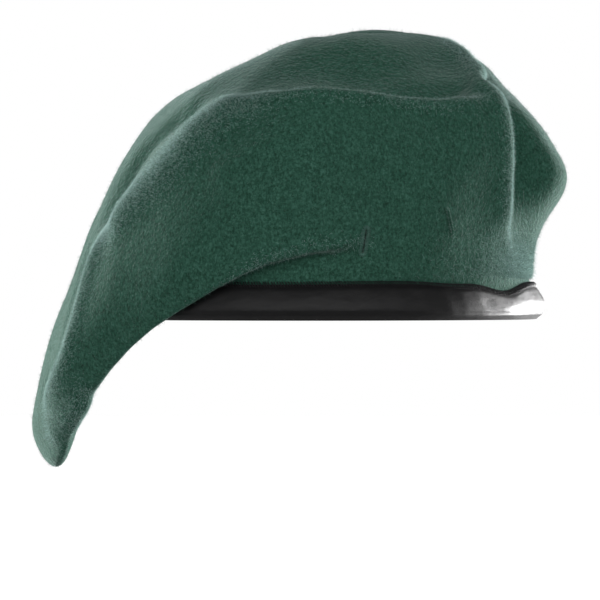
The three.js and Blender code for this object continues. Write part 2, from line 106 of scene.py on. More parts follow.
# Rows of faces between one guide point and the next, from the binding to the middle.
OUTER_ROWS = [3, 3, 5, 8, 10, 10, 28, 12, 14, 18, 12]
ROWS_IN_BAND = 6
# The lowest rows are never smoothed, and folds reach full height this many rows above the binding.
FIXED_ROWS = 4
ROWS_OF_ONSET = 9
# Rows of the outer face to each row of the inner face.
INNER_ROW_STEP = 3
# Columns of faces as (from azimuth, to azimuth, count): closer together where the folds are sharp.
AZIMUTH_SPANS = [(-90, -62, 50), (-62, -8, 130), (-8, 150, 150), (150, 270, 190)]
SMOOTHING_ROUNDS = 5

# Folds pressed into the smooth crown: height outwards, width, and the line that each one follows.
# A fold fades out over this share of its line at both ends.
FOLD_FADE = 0.14
FOLDS = [
    # The upright corner fold in front of the wearer's left temple, and the hollow behind it.
    (2.6, 5.0, [(51, -20, 101), (54, -31, 95.5), (59, -48, 88), (63.5, -62, 80), (66, -70, 72),
                (67, -73, 62), (67.5, -73, 49), (69.5, -70, 39), (73, -64, 30), (76, -58, 22)]),
    (-3.4, 5.0, [(54, -14, 99), (58, -24, 91), (61, -38, 80), (61, -48, 64), (62, -48, 50),
                 (68, -46, 36)]),
    # The sharper top of that fold, and the drop beside it.
    (1.8, 3.0, [(50, -16, 102.5), (54, -31, 95.5), (59, -48, 88), (63.5, -62, 80), (66, -70, 72)]),
    (-1.4, 4.5, [(55, -12, 99), (59, -24, 93), (62, -36, 86), (64.5, -48, 79), (65, -54, 68)]),
    # The rim of the wall over the brow, and the valley behind it.
    (2.0, 2.6, [(-30, -87, 75), (-20, -95, 76.5), (-8, -100, 76.5), (10, -100, 75.5),
                (30, -95, 75), (44, -87, 73.5), (55, -78, 74), (63, -71, 76.5)]),
    (-2.2, 6.0, [(-22, -80, 77), (0, -84, 77.5), (24, -80, 77), (46, -68, 79), (58, -55, 83)]),
    # The soft shoulder over the wearer's right brow, the hollow above it and a faint fold below.
    (3.4, 8.0, [(-20, -92, 75), (-33, -88, 67), (-42, -85, 58), (-51, -80, 49), (-60, -73, 40),
                (-69, -66, 28)]),
    (-3.0, 6.5, [(-40, -62, 76), (-50, -50, 71), (-57, -47, 64), (-64, -47, 54), (-70, -51, 42),
                 (-75, -50, 30)]),
    (1.3, 3.0, [(-10, -106, 60.5), (-19, -104, 57), (-28, -101, 52), (-34, -100, 46)]),
    # The long edge fold down the flap, and the groove beside it.
    (2.0, 4.5, [(-70, -62, 34), (-75, -66, 22), (-80, -70, 10), (-84, -73, -3), (-87, -72, -14),
                (-92, -62, -24), (-97, -46, -31)]),
    (-2.0, 4.5, [(-76, -46, 30), (-82, -48, 16), (-87, -50, 4), (-92, -50, -8), (-96, -42, -18),
                 (-100, -28, -28)]),
    # The rolled edge of the flap where it crosses the wall, and the tuck below it.
    (1.8, 2.4, [(18, -104.5, 27), (8, -107, 25.4), (0, -109, 24.4), (-8, -109.5, 22),
                (-16, -109.7, 19.6), (-25, -108, 13.8), (-34, -104.5, 7), (-42, -101, 1)]),
    (-1.5, 1.9, [(8, -106, 22), (0, -106.3, 20.6), (-8, -106, 18.8), (-16, -105, 16),
                 (-22, -104, 13.5)]),
    # The rolled lip at the flap's lowest corner.
    (2.2, 3.2, [(-92, -46, -41), (-88, -53, -37), (-82, -63, -32), (-79, -70, -26)]),
    (-0.8, 3.5, [(-95, -34, -45), (-91, -44, -46), (-86, -50, -43), (-82, -56, -38)]),
]
# Raised folds whose crests carry paler fibres, a painted highlight: place in FOLDS, half width, how
# much.
HIGHLIT_FOLDS = [(0, 3.5, 1.0), (4, 2.4, 0.4), (6, 6.5, 0.7), (9, 4.0, 0.4), (11, 2.0, 0.2),
              (13, 3.0, 0.3)]
# Slow unevenness of the cloth: size of the waves in three directions, phase and height.
WAVES = [((57, 83, 68), 0.4, 0.4), ((92, 47, -74), 1.9, 0.35), ((-29, 43, 34), 3.1, 0.1),
         ((23, -17, 29), 5.0, 0.06)]

# Over the right ear the wool is pressed thin where it turns down over the binding: the middle and
# half width of that place in degrees, how much thinner it is, and how many rows it takes up on
# either side of the binding's top.
PRESSED_AZIMUTH = 188
PRESSED_HALF_ANGLE = 25
PRESSED_SHARE = 0.8
PRESSED_ROWS = (2, 5)

# The leather binding: heights of its legs, and how far its faces stand out from the wool's ellipse.
LEATHER = 1.0
BINDING_FACE = 1.35
BINDING_TOP = 12.6
BINDING_INNER_FACE = -4.5
BINDING_INNER_TOP = 11.5
BINDING_COLUMNS = 720
# The rolled lower edge, the foot of the outer face, how far that face puffs out everywhere, and the
# fine crease above the roll: its height, half height and depth.
ROLL_RADIUS = 0.85
FACE_FOOT = 0.9
PUFF = 0.45
CREASE_HEIGHT, CREASE_HALF_HEIGHT, CREASE_DEPTH = 2.4, 0.45, 0.3
# Depths of the leather's puckers, and the place in degrees where slanted ones gather.
FINE_PUCKER, BROAD_PUCKER, SLANTED_PUCKER = 0.07, 0.12, 0.12
SLANTED_AZIMUTH, SLANTED_HALF_ANGLE = -36, 14
# Places where the binding's top edge sags: azimuth, half width in degrees, drop.
BINDING_SAGS = [(-37, 9, 3.4), (-55, 8, 0.9), (-100, 30, 0.5), (75, 25, 0.6), (160, 20, 0.5)]
# Places where the binding puffs out: azimuth, half width in degrees, extra.
BINDING_PUFFS = [(-30, 20, 0.7), (0, 24, 1.2), (-92, 38, 2.5), (60, 30, 0.4), (140, 25, 0.5),
                 (200, 30, 0.4)]

# Places where its lower edge is rolled further under: azimuth, half width in degrees, extra.
BINDING_ROUNDINGS = [(-6, 24, 1.4)]
# Places where the fine crease above its lower edge fades: azimuth, half width in degrees, depth.
BINDING_FLAT_PLACES = [(-12, 24, 0.3)]

# Over the left temple the binding's top leans in by this much.
LEAN_IN = 2.2
LEAN_AZIMUTH = -2
LEAN_HALF_ANGLE = 32

STITCH_PITCH = 1.0
STITCH_RADIUS = 0.2
STITCH_SLANT = 0.009
INNER_STITCH_PITCH = 4.2
INNER_STITCH_LENGTH = 2.8
INNER_STITCH_RADIUS = 0.28
INNER_STITCH_OUT = -5
INNER_STITCH_HEIGHT = 9.5
MEAN_RADIUS = 90

# The badge slots over the wearer's left eye: azimuth, height, lean from upright in degrees and how
# wide the slit gapes.
SLIT_LENGTH = 8
SLOT_THREAD_RADIUS = 0.24
SLOT_THREAD_REACH = 1.0
SLOT_END_REACH = 0.9
# The front wall's length per degree, to weigh azimuth against height.
WALL_PER_DEGREE = 1.8
SLOTS = [(-80, 27, 5, 0.8), (-62.5, 33.5, -22, 0.25)]

# The lining is a half ellipsoid over the head, in a side panel and a tip panel.
LINING_THICKNESS = 0.6
LINING_HALF_WIDTH = 80.6
LINING_HALF_DEPTH = 100.6
LINING_BASE = 15
LINING_RISE = 73
LINING_SEAM_ANGLE = math.radians(35)
LINING_COLUMNS = 480
LINING_SLACK = 0.9
LINING_STITCHES = 190
LINING_STITCH_RADIUS = 0.22

LABEL_HALF_ANGLE = math.radians(9.4)
LABEL_BOTTOM = 24
LABEL_TOP = 37
LABEL_THICKNESS = 0.4
LABEL_LIFT = 1.9

# The loose nap: how many fibres and the longest one, all over, in the patch of pulled-up nap over the
# left temple, and along the fold crests; the last two are paler fibres, a painted highlight.
NAP_FIBRES, NAP_LENGTH = 46000, 1.9
PULLED_HIGHLIGHT_FIBRES, PULLED_HIGHLIGHT_LENGTH = 5000, 3.2
CREST_HIGHLIGHT_FIBRES, CREST_HIGHLIGHT_LENGTH = 36000, 1.7
FIBRE_HALF_WIDTHS = (0.035, 0.06)
FIBRE_ROOT_DEPTH = 0.15
# The patch of pulled-up nap whose paler fibres are a painted highlight: its middle and half width in
# degrees, its middle height and half height.
HIGHLIT_PATCH_AZIMUTH, HIGHLIT_PATCH_HALF_ANGLE = -32, 16
HIGHLIT_PATCH_HEIGHT, HIGHLIT_PATCH_HALF_HEIGHT = 19, 9

# The drawcord: three strands, twisted this many times on the way round, in the binding's channel.
CORD_STRANDS = 3
CORD_TWISTS = 95
CORD_RADIUS = 1.08
CORD_OUT = -1.58
CORD_HEIGHT = 2.75
# The knot at the back: about how far from the middle it is, how much thicker, its half length.
KNOT_REACH = 102
KNOT_EXTRA = 0.28
KNOT_HALF_LENGTH = 3.0


# ---------- numbers and surfaces

def ellipse_radius(angle):
    return 1 / np.hypot(np.cos(angle) / HALF_WIDTH, np.sin(angle) / HALF_DEPTH)


def polar(degrees, overhang, height):
    angle = math.radians(degrees)
    radius = ellipse_radius(angle) + overhang
    return [radius * math.cos(angle), radius * math.sin(angle), height]


def catmull_rom(points, closed, places):
    """Points of the centripetal Catmull-Rom curves through points, at fractional indices."""
    count = len(points)
    index = np.floor(places).astype(int)
    if not closed:
        index = np.minimum(index, count - 2)
    along = places - index
    if closed:
        p0, p1, p2, p3 = (points[(index + step) % count] for step in (-1, 0, 1, 2))
    else:
        ends = np.concatenate([[2 * points[0] - points[1]], points, [2 * points[-1] - points[-2]]])
        p0, p1, p2, p3 = (ends[index + step] for step in (0, 1, 2, 3))

    def knot(a, b):
        return np.maximum(((b - a) ** 2).sum(-1, keepdims=True), 1e-8) ** 0.25

    d0, d1, d2 = knot(p0, p1), knot(p1, p2), knot(p2, p3)
    t1 = ((p1 - p0) / d0 - (p2 - p0) / (d0 + d1) + (p2 - p1) / d1) * d1
    t2 = ((p2 - p1) / d1 - (p3 - p1) / (d1 + d2) + (p3 - p2) / d2) * d1
    w = along.reshape(-1, *[1] * (points.ndim - 1))
    return p1 + t1 * w + (3 * (p2 - p1) - 2 * t1 - t2) * w**2 + (2 * (p1 - p2) + t1 + t2) * w**3


def guide_points(guide):
    azimuth, side, top = guide
    column = [polar(azimuth, 0, WOOL_EDGE), polar(azimuth, 0, BAND_TOP)]
    column += [polar(azimuth, *point) for point in side]
    return column + top + [list(MIDDLE_OF_TOP)]


def crown_grid(spans, row_counts):
    """The wool's outer face as an array of columns of points."""
    guides = np.array([guide_points(guide) for guide in GUIDES], float)
    stations = np.array([guide[0] for guide in GUIDES] + [GUIDES[0][0] + 360], float)
    azimuths = np.concatenate([np.linspace(low, high, count, False) for low, high, count in spans])
    places = np.interp(azimuths, stations, np.arange(len(stations)))
    rings = catmull_rom(guides, True, places)
    rows = [np.arange(count) / count + index for index, count in enumerate(row_counts)]
    rows = np.concatenate([*rows, [len(row_counts)]])
    return catmull_rom(rings.swapaxes(0, 1), False, rows).swapaxes(0, 1)


def normals_of(grid):
    around = np.roll(grid, -1, 0) - np.roll(grid, 1, 0)
    up = np.empty_like(grid)
    up[:, 1:-1] = grid[:, 2:] - grid[:, :-2]
    up[:, 0], up[:, -1] = grid[:, 1] - grid[:, 0], grid[:, -1] - grid[:, -2]
    normal = np.cross(around, up)
    normal[:, -1] = (0, 0, 1)
    return normal / np.maximum(np.linalg.norm(normal, axis=2, keepdims=True), 1e-9)


def smoothed(grid, rounds, fixed_rows):
    grid = grid.copy()
    for _ in range(rounds):
        mean = (np.roll(grid, 1, 0) + np.roll(grid, -1, 0))[:, 1:-1] + grid[:, 2:] + grid[:, :-2]
        inner = 0.5 * grid[:, 1:-1] + 0.125 * mean
        grid[:, fixed_rows:-1] = inner[:, fixed_rows - 1:]
    return grid


def distance_to_line(points, line):
    """Distance from each point to a chain of segments, and how far along the chain, 0 to 1."""
    line = np.array(line, float)
    lengths = np.linalg.norm(np.diff(line, axis=0), axis=1)
    nearest = np.full(points.shape[:-1], np.inf)
    along = np.zeros(points.shape[:-1])
    for index, (a, b) in enumerate(zip(line, line[1:])):
        t = np.clip((points - a) @ (b - a) / lengths[index] ** 2, 0, 1)
        distance = np.linalg.norm(points - a - t[..., None] * (b - a), axis=-1)
        nearer = distance < nearest
        nearest = np.where(nearer, distance, nearest)
        here = (lengths[:index].sum() + t * lengths[index]) / lengths.sum()
        along = np.where(nearer, here, along)
    return nearest, along


def smooth_step(value, low, high):
    t = np.clip((value - low) / (high - low), 0, 1)
    return t * t * (3 - 2 * t)


def leaning(points):
    """The binding's upper part and the layers sewn to it lean inwards over the left temple."""
    points = np.array(points, float)
    azimuth = np.degrees(np.arctan2(points[..., 1], points[..., 0]))
    near = np.exp(-((azimuth - LEAN_AZIMUTH) / LEAN_HALF_ANGLE) ** 2)
    height = points[..., 2]
    rise = smooth_step(height, 4, BAND_TOP) * (1 - smooth_step(height, 16, 36))
    reach = np.hypot(points[..., 0], points[..., 1])
    shrink = 1 - LEAN_IN * near * rise / np.maximum(reach, 1)
    points[..., 0] *= shrink
    points[..., 1] *= shrink
    return points


def folded(grid):
    """The grid with its folds and slow unevenness, which start a little above the binding."""
    normal = normals_of(grid)
    offset = np.zeros(grid.shape[:2])
    for height, width, line in FOLDS:
        distance, along = distance_to_line(grid, line)
        fade = smooth_step(along, 0, FOLD_FADE) * smooth_step(1 - along, 0, FOLD_FADE)
        offset += height * np.exp(-(distance / width) ** 2) * fade
    for sizes, phase, height in WAVES:
        offset += height * np.sin(2 * math.pi * (grid / np.array(sizes)).sum(-1) + phase)
    rows = np.arange(grid.shape[1])
    offset *= smooth_step(rows, ROWS_IN_BAND, ROWS_IN_BAND + ROWS_OF_ONSET)
    offset[:, -1] = offset[:, -2].mean()
    return grid + offset[..., None] * normal


def crown_surface():
    """The wool's outer face with everything that bends it."""
    grid = smoothed(crown_grid(AZIMUTH_SPANS, OUTER_ROWS), SMOOTHING_ROUNDS, FIXED_ROWS)
    grid = smoothed(folded(grid), 1, FIXED_ROWS)
    grid[:, :ROWS_IN_BAND + 1] = leaning(grid[:, :ROWS_IN_BAND + 1])
    return smoothed(grid, 2, FIXED_ROWS)


# ---------- meshes

def make_piece(name, points, faces, material, slot):
    """A mesh object from points in millimetres, riding on the one body."""
    mesh = bpy.data.meshes.new(name)
    mesh.from_pydata((np.asarray(points, float).reshape(-1, 3) * MM).tolist(), [], faces)
    mesh.validate()
    mesh.polygons.foreach_set("use_smooth", [True] * len(mesh.polygons))
    mesh.materials.append(material)
    piece = bpy.data.objects.new(name, mesh)
    bpy.context.collection.objects.link(piece)
    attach(piece, "root")
    return piece


def grid_quads(columns, rows, start=0, flip=False, closed_rows=False):
    """Faces of a grid that goes round, with its points listed column by column."""
    column, row = np.meshgrid(np.arange(columns), np.arange(rows if closed_rows else rows - 1))
    column, row = column.ravel(), row.ravel()
    after, above = (column + 1) % columns, (row + 1) % rows
    quads = np.stack([column * rows + row, after * rows + row,
                      after * rows + above, column * rows + above], axis=1) + start
    return (quads[:, ::-1] if flip else quads).tolist()


def shell_mesh(outer, inner):
    """Points and faces of a shell closed at its middle, open at its lower edge."""
    columns, outer_rows, inner_rows = len(outer), outer.shape[1] - 1, inner.shape[1] - 1
    start = columns * outer_rows
    caps = start + columns * inner_rows
    points = np.concatenate([outer[:, :-1].reshape(-1, 3), inner[:, :-1].reshape(-1, 3),
                             [outer[0, -1], inner[0, -1]]])
    faces = grid_quads(columns, outer_rows)
    faces += grid_quads(columns, inner_rows, start, flip=True)
    for column in range(columns):
        after = (column + 1) % columns
        tip, under = (column + 1) * outer_rows - 1, start + (column + 1) * inner_rows - 1
        next_tip = (after + 1) * outer_rows - 1
        next_under = start + (after + 1) * inner_rows - 1
        faces.append([tip, next_tip, caps])
        faces.append([next_under, under, caps + 1])
        faces.append([after * outer_rows, column * outer_rows,
                      start + column * inner_rows, start + after * inner_rows])
    return points, faces


# ---------- materials

class Nodes:
    """A short way to write a material's node tree."""

    def __init__(self, name):
        self.material = bpy.data.materials.new(name)
        self.material.use_nodes = True
        self.tree = self.material.node_tree
        self.shader = self.tree.nodes["Principled BSDF"]
        self.place = self.add("ShaderNodeTexCoord").outputs["Object"]

    def add(self, kind, **values):
        node = self.tree.nodes.new(kind)
        for key, value in values.items():
            setattr(node, key, value)
        return node

    def link(self, source, target):
        self.tree.links.new(source, target)

    def feed(self, socket, value):
        """Links the socket to another one, or gives it a plain value."""
        if isinstance(value, bpy.types.NodeSocket):
            self.link(value, socket)
        else:
            socket.default_value = value

    def stretched(self, scale):
        node = self.add("ShaderNodeMapping")
        node.inputs["Scale"].default_value = scale
        self.link(self.place, node.inputs["Vector"])
        return node.outputs["Vector"]

    def noise(self, size_mm, detail=3.0, rough=0.6, vector=None, distortion=0.0):
        node = self.add("ShaderNodeTexNoise")
        node.inputs["Scale"].default_value = 1000 / size_mm
        node.inputs["Detail"].default_value = detail
        node.inputs["Roughness"].default_value = rough
        node.inputs["Distortion"].default_value = distortion
        self.link(vector or self.place, node.inputs["Vector"])
        return node.outputs["Fac"]

    def ramp(self, factor, stops):
        node = self.add("ShaderNodeValToRGB")
        elements = node.color_ramp.elements
        while len(elements) < len(stops):
            elements.new(0.5)
        for element, (position, color) in zip(elements, stops):
            element.position = position
            element.color = (*color, 1)
        self.link(factor, node.inputs["Fac"])
        return node.outputs["Color"]

    def mix(self, factor, a, b, blend="MIX"):
        node = self.add("ShaderNodeMix", data_type="RGBA", blend_type=blend)
        for socket, value in zip((node.inputs[0], node.inputs[6], node.inputs[7]), (factor, a, b)):
            self.feed(socket, (*value, 1) if isinstance(value, tuple) else value)
        return node.outputs[2]

    def math(self, operation, a, b):
        node = self.add("ShaderNodeMath", operation=operation)
        for socket, value in zip(node.inputs, (a, b)):
            self.feed(socket, value)
        return node.outputs[0]

    def fitted(self, value, low, high):
        node = self.add("ShaderNodeMapRange")
        node.inputs["To Min"].default_value = low
        node.inputs["To Max"].default_value = high
        self.link(value, node.inputs["Value"])
        return node.outputs["Result"]

    def bump(self, height, depth_mm, below=None):
        node = self.add("ShaderNodeBump")
        node.inputs["Strength"].default_value = 1.0
        node.inputs["Distance"].default_value = depth_mm * MM
        self.link(height, node.inputs["Height"])
        if below is not None:
            self.link(below, node.inputs["Normal"])
        return node.outputs["Normal"]

    def set(self, **values):
        for key, value in values.items():
            self.feed(self.shader.inputs[key.replace("_", " ")], value)
        return self.material


def felt_material():
    n = Nodes("green_felt")
    grain = n.noise(1.05, 4, 0.7)
    streak = n.noise(0.85, 2, 0.5, n.stretched((0.9, 0.9, 0.5)), 1.5)
    cloud = n.noise(14, 2)
    heather = n.ramp(n.math("ADD", n.math("MULTIPLY", grain, 0.6), n.math("MULTIPLY", streak, 0.4)), [
        (0.36, (0.010, 0.036, 0.024)),
        (0.5, (0.027, 0.093, 0.063)),
        (0.64, (0.066, 0.180, 0.130)),
    ])
    color = n.mix(n.fitted(cloud, 0.0, 0.3), heather, (0.031, 0.102, 0.070))
    fuzz = n.bump(n.noise(0.6, 3, 0.7), 0.35)
    normal = n.bump(n.noise(2.0, 3, 0.65), 0.8, fuzz)
    return n.set(Base_Color=color, Roughness=0.95, Specular_IOR_Level=0.15, Normal=normal,
                 Sheen_Weight=0.5, Sheen_Roughness=0.27, Sheen_Tint=(0.75, 0.95, 0.92, 1))


def nap_material(name, dark, light):
    n = Nodes(name)
    tint = n.noise(1.6, 2)
    color = n.mix(tint, dark, light)
    return n.set(Base_Color=color, Roughness=0.9, Specular_IOR_Level=0.2,
                 Sheen_Weight=0.25, Sheen_Roughness=0.3, Sheen_Tint=(0.72, 0.95, 0.90, 1))


def leather_material():
    n = Nodes("black_leather")
    grain = n.add("ShaderNodeTexVoronoi", feature="DISTANCE_TO_EDGE")
    grain.inputs["Scale"].default_value = 1000 / 0.8
    n.link(n.place, grain.inputs["Vector"])
    cells = n.ramp(grain.outputs["Distance"], [(0.0, (0, 0, 0)), (0.25, (1, 1, 1))])
    soft = n.noise(5, 3, 0.5)
    color = n.mix(soft, (0.004, 0.004, 0.0045), (0.008, 0.008, 0.0085))
    normal = n.bump(cells, 0.02, n.bump(n.noise(6, 2, 0.5, n.stretched((1, 1, 2))), 0.25))
    return n.set(Base_Color=color, Roughness=n.fitted(soft, 0.44, 0.54), Normal=normal,
                 Specular_IOR_Level=0.3)


def thread_material(name, dark, light, rough=0.6):
    n = Nodes(name)
    strands = n.noise(0.3, 2, 0.5)
    color = n.mix(strands, dark, light)
    return n.set(Base_Color=color, Roughness=rough, Normal=n.bump(strands, 0.06),
                 Specular_IOR_Level=0.3)


def satin_material():
    n = Nodes("lining_satin")
    twill = n.add("ShaderNodeTexWave", wave_type="BANDS", bands_direction="DIAGONAL")
    twill.inputs["Scale"].default_value = 700
    twill.inputs["Distortion"].default_value = 0.4
    n.link(n.place, twill.inputs["Vector"])
    cloud = n.noise(9, 2)
    color = n.mix(cloud, (0.010, 0.010, 0.012), (0.022, 0.022, 0.026))
    return n.set(Base_Color=color, Roughness=n.fitted(cloud, 0.36, 0.5),
                 Normal=n.bump(twill.outputs["Fac"], 0.05), Sheen_Weight=0.4, Sheen_Roughness=0.4)


def board_material():
    n = Nodes("stiffener_board")
    fibres = n.noise(1.2, 4, 0.7, n.stretched((1, 1, 0.3)))
    color = n.mix(fibres, (0.20, 0.14, 0.08), (0.36, 0.27, 0.17))
    return n.set(Base_Color=color, Roughness=0.9, Normal=n.bump(fibres, 0.1))


def ribbon_material():
    n = Nodes("label_ribbon")
    weave = n.add("ShaderNodeTexChecker")
    weave.inputs["Scale"].default_value = 2600
    n.link(n.place, weave.inputs["Vector"])
    color = n.mix(n.noise(3, 2), (0.62, 0.60, 0.54), (0.74, 0.72, 0.66))
    return n.set(Base_Color=color, Roughness=0.75, Normal=n.bump(weave.outputs["Fac"], 0.04),
                 Sheen_Weight=0.3, Sheen_Roughness=0.5)


def floor_material():
    """Pale everywhere and glowing to the camera, so that it lights the beret only a little."""
    n = Nodes("pale_floor")
    color = n.mix(n.noise(300, 2), (0.30, 0.30, 0.30), (0.32, 0.32, 0.32))
    seen = n.add("ShaderNodeLightPath").outputs["Is Camera Ray"]
    return n.set(Base_Color=color, Roughness=1.0, Specular_IOR_Level=0.0,
                 Emission_Color=(1, 1, 1, 1), Emission_Strength=n.fitted(seen, 0.0, 1.0))


FELT = felt_material()
LEATHER_LOOK = leather_material()
NAP = nap_material("felt_fibres", (0.024, 0.084, 0.058), (0.058, 0.160, 0.116))
# Paler fibres over the left temple: painted highlight.
PATCH_HIGHLIGHT_NAP = nap_material("patch_highlight_fibres", (0.13, 0.25, 0.22), (0.30, 0.45, 0.42))
# Pale fibres along the fold crests: painted highlight.
CREST_HIGHLIGHT_NAP = nap_material("crest_highlight_fibres", (0.23, 0.38, 0.35), (0.46, 0.62, 0.59))
SATIN = satin_material()
BLACK_THREAD = thread_material("black_thread", (0.003, 0.003, 0.0035), (0.014, 0.014, 0.016))
GREEN_THREAD = thread_material("green_thread", (0.030, 0.092, 0.068), (0.085, 0.195, 0.155))


# ---------- camera, light, floor

# In metres, but for the lens, which is in millimetres for a sensor 36 mm wide.
CAMERA_DISTANCE = 1.0
CAMERA_SIDE = -0.0038
CAMERA_HEIGHT = 0.007
LENS = 159.6
SENSOR = 36

FLOOR_HEIGHT = -0.30
FLOOR_HALF_SIZE = 6.0

# The studio's light falls off from the front and below to the back and above.
FRONT_LIGHT = 1.95
BACK_LIGHT = 0.1
LIGHT_FALLS_TOWARDS = (0, 1, 1)
FALL_FROM, FALL_TO = -0.7, 0.2
# Two softboxes behind the beret: name, place, what it points at, width and height, watts.
SOFTBOXES = [
    ("left_back", (-0.98, 0.68, 0.0), (-0.05, 0, 0.03), (0.5, 0.4), 32),
    ("right_back", (0.88, 0.74, -0.05), (0.05, 0, 0.03), (0.5, 0.4), 34),
]


def make_camera():
    data = bpy.data.cameras.new("camera")
    data.lens = LENS
    data.sensor_width = SENSOR
    camera = bpy.data.objects.new("camera", data)
    camera.location = (CAMERA_SIDE, -CAMERA_DISTANCE, CAMERA_HEIGHT)
    camera.rotation_euler = (math.pi / 2, 0, 0)
    bpy.context.collection.objects.link(camera)
    bpy.context.scene.camera = camera


def make_softbox(name, place, target, size, watts):
    data = bpy.data.lights.new(name, "AREA")
    data.shape = "RECTANGLE"
    data.size, data.size_y = size
    data.energy = watts
    light = bpy.data.objects.new(name, data)
    light.location = place
    light.rotation_euler = (Vector(target) - Vector(place)).to_track_quat("-Z", "Y").to_euler()
    bpy.context.collection.objects.link(light)


def make_floor():
    size = FLOOR_HALF_SIZE
    mesh = bpy.data.meshes.new("floor")
    corners = [(-size, -size, 0), (size, -size, 0), (size, size, 0), (-size, size, 0)]
    mesh.from_pydata(corners, [], [(0, 1, 2, 3)])
    mesh.materials.append(floor_material())
    floor = bpy.data.objects.new("floor", mesh)
    floor.location = (0, 0, FLOOR_HEIGHT)
    bpy.context.collection.objects.link(floor)


def make_world():
    """White all round to the camera. Its light comes mostly from the front, not from above."""
    world = bpy.data.worlds.new("studio")
    world.use_nodes = True
    tree = world.node_tree
    around = tree.nodes.new("ShaderNodeTexCoord").outputs["Generated"]
    away = tree.nodes.new("ShaderNodeVectorMath")
    away.operation = "DOT_PRODUCT"
    away.inputs[1].default_value = LIGHT_FALLS_TOWARDS
    tree.links.new(around, away.inputs[0])
    level = tree.nodes.new("ShaderNodeMapRange")
    level.interpolation_type = "SMOOTHSTEP"
    ends = (FALL_FROM, FALL_TO, FRONT_LIGHT, BACK_LIGHT)
    for name, value in zip(("From Min", "From Max", "To Min", "To Max"), ends):
        level.inputs[name].default_value = value
    tree.links.new(away.outputs["Value"], level.inputs["Value"])
    light = tree.nodes["Background"]
    light.inputs["Color"].default_value = (1, 1, 1, 1)
    tree.links.new(level.outputs["Result"], light.inputs["Strength"])
    seen = tree.nodes.new("ShaderNodeBackground")
    seen.inputs["Color"].default_value = (1, 1, 1, 1)
    mix = tree.nodes.new("ShaderNodeMixShader")
    ray = tree.nodes.new("ShaderNodeLightPath").outputs["Is Camera Ray"]
    tree.links.new(ray, mix.inputs[0])
    tree.links.new(light.outputs[0], mix.inputs[1])
    tree.links.new(seen.outputs[0], mix.inputs[2])
    tree.links.new(mix.outputs[0], tree.nodes["World Output"].inputs["Surface"])
    bpy.context.scene.world = world


make_camera()
make_floor()
make_world()
for softbox in SOFTBOXES:
    make_softbox(*softbox)
bpy.context.scene.view_settings.view_transform = "Standard"


# ---------- the wool crown

def slot_frame(grid, azimuth, height, lean):
    """The spot on the crown at an azimuth and height, and the ways across, along and out of it."""
    angles = np.degrees(np.arctan2(grid[..., 1], grid[..., 0]))
    miss = np.hypot((angles - azimuth) * WALL_PER_DEGREE, grid[..., 2] - height)
    column, row = np.unravel_index(miss.argmin(), miss.shape)
    place, out = grid[column, row], normals_of(grid)[column, row]
    side = np.cross((0, 0, 1), out)
    side /= np.linalg.norm(side)
    up = np.cross(out, side)
    turn = math.radians(-lean)
    across = side * math.cos(turn) + up * math.sin(turn)
    along = up * math.cos(turn) - side * math.sin(turn)
    return place, across, along, out


def cut_slits(wool, grid):
    """Cuts the badge slits right through the wool."""
    corners = [(x, y, z) for x in (-0.5, 0.5) for y in (-0.5, 0.5) for z in (-0.5, 0.5)]
    sides = [(0, 1, 3, 2), (4, 6, 7, 5), (0, 4, 5, 1), (2, 3, 7, 6), (0, 2, 6, 4), (1, 5, 7, 3)]
    points, faces = [], []
    for *slot, width in SLOTS:
        place, *axes = slot_frame(grid, *slot)
        sizes = (width, SLIT_LENGTH, 5 * WOOL)
        faces += [[index + len(points) for index in side] for side in sides]
        points += [place + sum(c * size * axis for c, size, axis in zip(corner, sizes, axes))
                   for corner in corners]
    mesh = bpy.data.meshes.new("slit_tool")
    mesh.from_pydata((np.array(points) * MM).tolist(), [], faces)
    tool = bpy.data.objects.new("slit_tool", mesh)
    bpy.context.collection.objects.link(tool)
    cut = wool.modifiers.new("slits", "BOOLEAN")
    cut.operation, cut.solver, cut.object = "DIFFERENCE", "EXACT", tool
    bpy.context.view_layer.update()
    shown = wool.evaluated_get(bpy.context.evaluated_depsgraph_get())
    wool.data = bpy.data.meshes.new_from_object(shown)
    wool.modifiers.clear()
    bpy.data.objects.remove(tool)


def build_crown(grid):
    """The felt shell, whose inner face has fewer rows than its outer one."""
    azimuth = np.degrees(np.arctan2(grid[:, 0, 1], grid[:, 0, 0])) % 360
    thickness = np.full(grid.shape[:2], WOOL)
    pressed = PRESSED_SHARE * np.exp(-((azimuth - PRESSED_AZIMUTH) / PRESSED_HALF_ANGLE) ** 2)
    below, above = PRESSED_ROWS
    thickness[:, ROWS_IN_BAND - below:ROWS_IN_BAND + above] *= (1 - pressed)[:, None]
    inner = grid - thickness[..., None] * normals_of(grid)
    inner = np.concatenate([inner[:, :-1:INNER_ROW_STEP], inner[:, -1:]], axis=1)
    inner[:, -1] = grid[:, -1] - (0, 0, WOOL)
    wool = make_piece("felt_crown", *shell_mesh(grid, inner), FELT, "felt")
    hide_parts("wool_crown")
    cut_slits(wool, grid)


